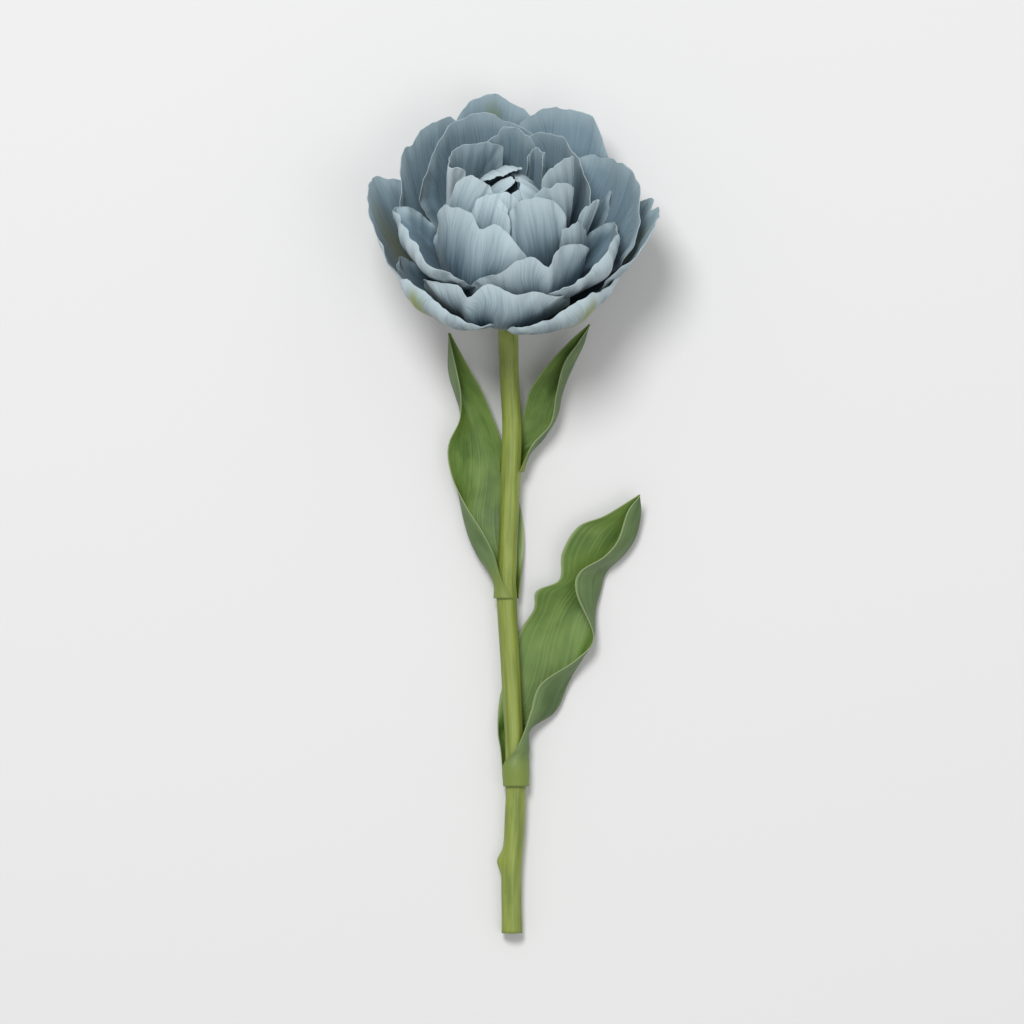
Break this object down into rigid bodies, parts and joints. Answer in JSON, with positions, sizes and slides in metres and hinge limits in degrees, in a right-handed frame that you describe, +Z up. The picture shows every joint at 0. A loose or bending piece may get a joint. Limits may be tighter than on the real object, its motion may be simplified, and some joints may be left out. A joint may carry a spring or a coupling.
{
  "type": "double tulip",
  "caption": "Cut double tulip lying on its side: a full bowl of blue-grey petals flamed with green on a smooth green stem with clasping leaves.",
  "frame": {"origin": "bottom centre of the bounding box, on the surface the flower lies on", "axes": "+Y runs along the stem from the cut end towards the flower, +X is to the flower's right seen from above with the flower at the far end, +Z is up from the surface"},
  "size_m": [0.1028, 0.295, 0.0714],
  "materials": {
    "tepal": "satin petal, blue-grey with green flames and fine veins",
    "petal": "satin petal, dusty blue-grey, paler at the rim, fine lengthwise veins",
    "stem": "smooth waxy yellow-green",
    "leaf": "satin green with parallel veins, glaucous grey-green underside",
    "pistil": "smooth pale green with a cream stigma",
    "stamen": "pale filament with dark powdery anther"
  },
  "bodies": {
    "root": {"leaf_lower": "leaf", "leaf_middle": "leaf", "leaf_upper": "leaf", "petal_3_back_left": "petal", "petal_3_back_right": "petal", "petal_3_right": "petal", "petal_4_back": "petal", "petal_4_front": "petal", "petal_4_left": "petal", "petal_4_right": "petal", "petal_5_back": "petal", "petal_5_back_right": "petal", "petal_5_front_left": "petal", "petal_5_left": "petal", "petal_6_back_right": "petal", "petal_6_front": "petal", "petal_6_left": "petal", "petal_6_right": "petal", "petal_7_back": "petal", "petal_7_front": "petal", "petal_7_left": "petal", "petal_7_right": "petal", "petal_8_back_right": "petal", "petal_8_front": "petal", "petal_8_front_right": "petal", "petal_8_left": "petal", "petal_8_right": "petal", "petaloid_5_far_right": "petal", "petaloid_5_right": "petal", "pistil": "pistil", "stamen_1": "stamen", "stamen_2": "stamen", "stamen_3": "stamen", "stamen_4": "stamen", "stamen_5": "stamen", "stamen_6": "stamen", "stem": "stem", "tepal_1_back": "tepal", "tepal_1_front_left": "tepal", "tepal_1_front_right": "tepal", "tepal_2_front": "tepal", "tepal_2_left": "tepal", "tepal_2_right": "tepal"}
  },
  "joints": []
}
